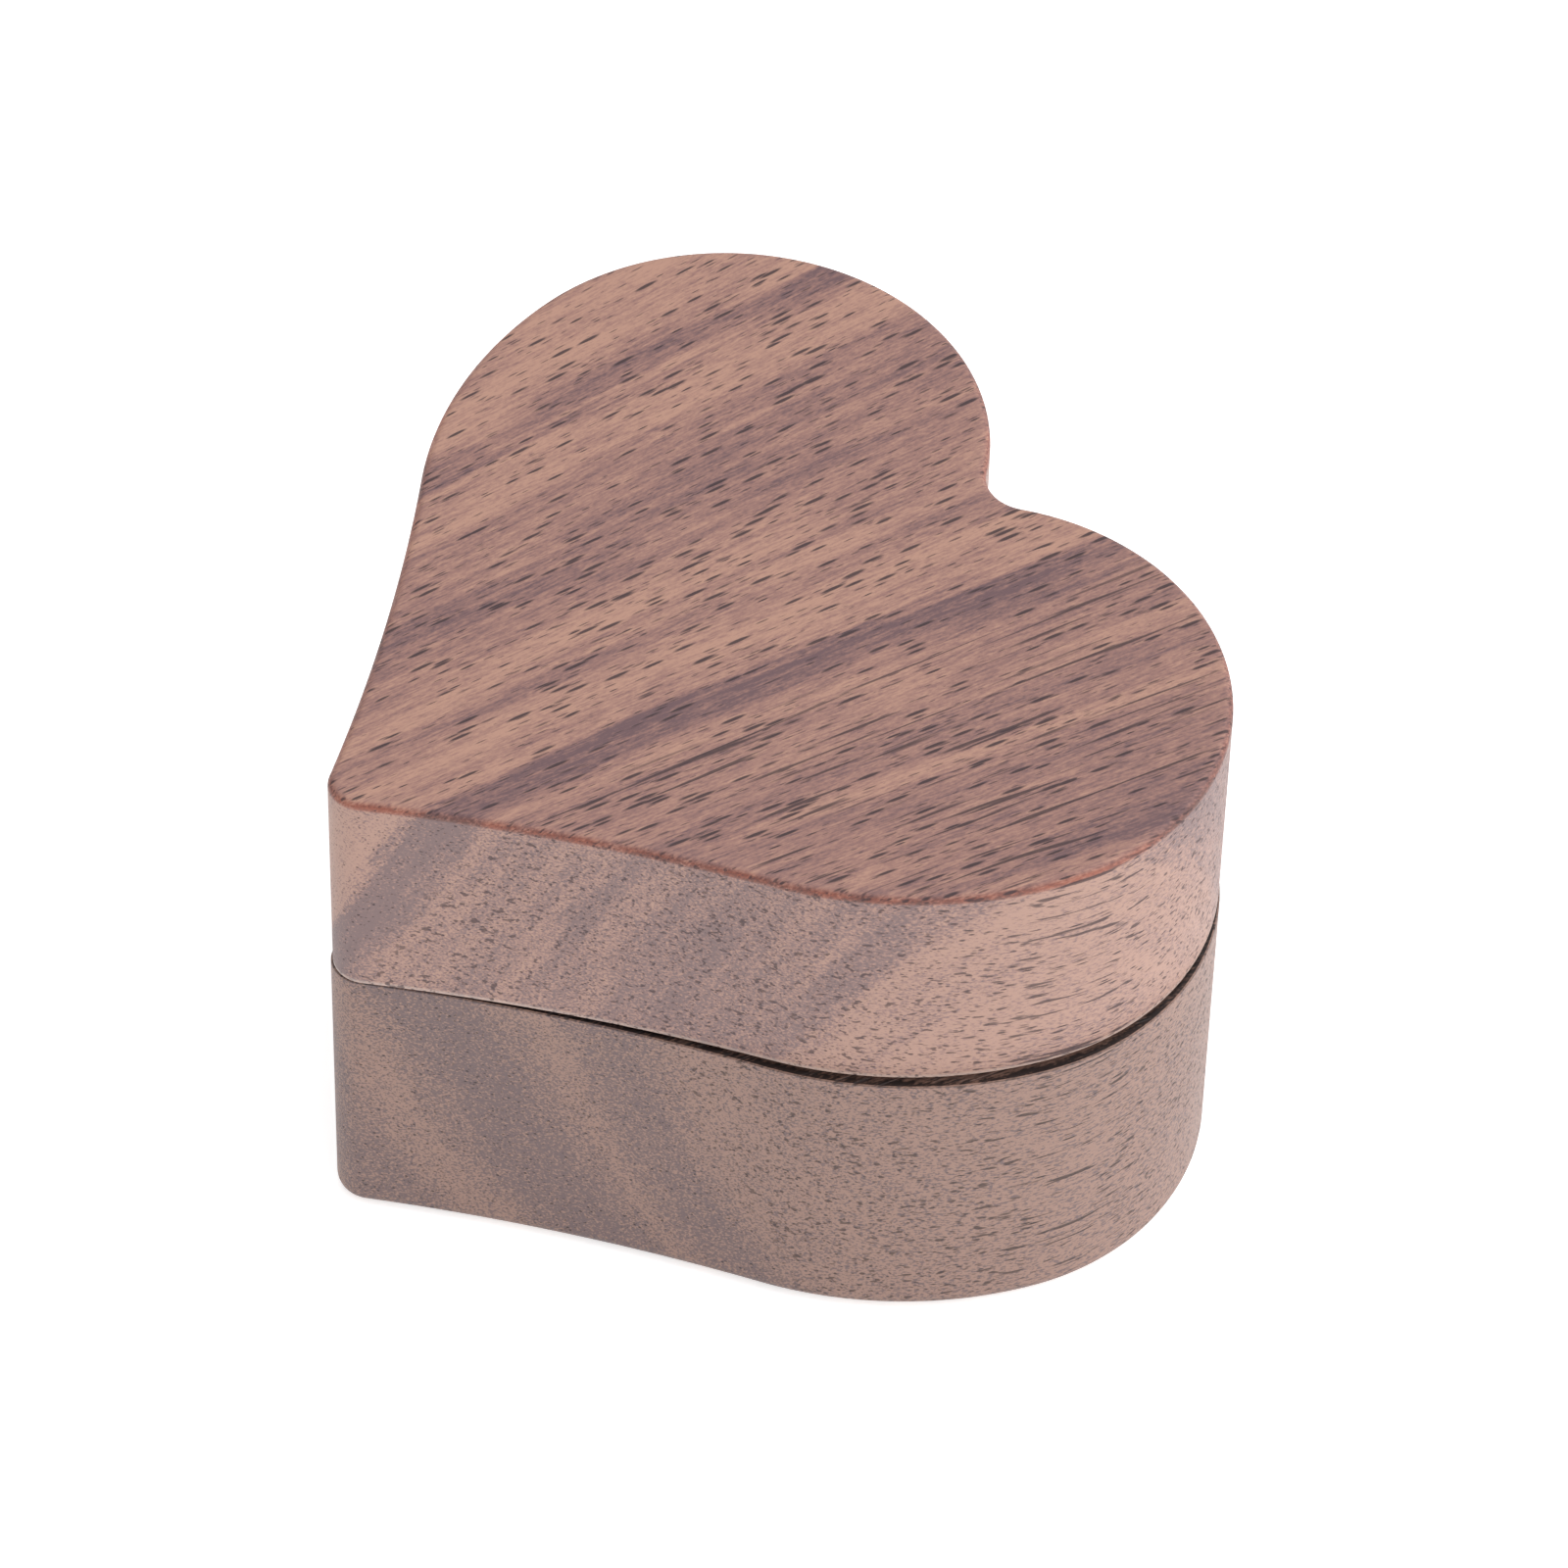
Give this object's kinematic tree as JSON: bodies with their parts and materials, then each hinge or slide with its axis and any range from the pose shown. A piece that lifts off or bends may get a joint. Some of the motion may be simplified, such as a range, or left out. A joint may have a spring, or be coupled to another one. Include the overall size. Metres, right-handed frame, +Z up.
{
  "type": "ring box",
  "caption": "Heart-shaped walnut ring box whose lid swivels sideways on a hidden pivot near the tip, over a velvet pad with a slit that holds a ring.",
  "frame": {"origin": "centre of the base's footprint, on its flat underside", "axes": "+Z up; +Y from the heart's tip to its cleft; +X to the right-hand lobe seen from the tip"},
  "size_m": [0.0638, 0.057, 0.0402],
  "materials": {
    "base_wood": "oiled walnut, satin",
    "lid_wood": "oiled walnut, satin",
    "velvet": "short-pile velvet",
    "foam": "soft polyurethane foam",
    "card": "grey-brown card",
    "nickel_plate": "nickel-plated magnet",
    "brass": "turned brass",
    "nylon": "natural nylon",
    "steel": "turned steel"
  },
  "bodies": {
    "base": {"base_shell": "base_wood", "base_wall_lining": "velvet", "base_board": "card", "rear_pad_foam": "foam", "rear_pad_cover": "velvet", "front_pad_foam": "foam", "front_pad_cover": "velvet", "base_magnet_left": "nickel_plate", "base_magnet_right": "nickel_plate", "pivot_bush": "brass", "thrust_washer": "nylon", "screw_plug": "base_wood"},
    "lid": {"lid_shell": "lid_wood", "lid_wall_lining": "velvet", "lid_board": "card", "lid_pad_foam": "foam", "lid_pad_cover": "velvet", "lid_magnet_left": "nickel_plate", "lid_magnet_right": "nickel_plate", "lid_insert": "brass", "pivot_screw": "steel", "disc_spring": "steel"}
  },
  "joints": [
    {"name": "lid_swing", "type": "hinge", "parent": "base", "child": "lid", "pos_m": [0, -0.0148, 0.0228], "axis": [0, 0, 1], "continuous": true}
  ]
}
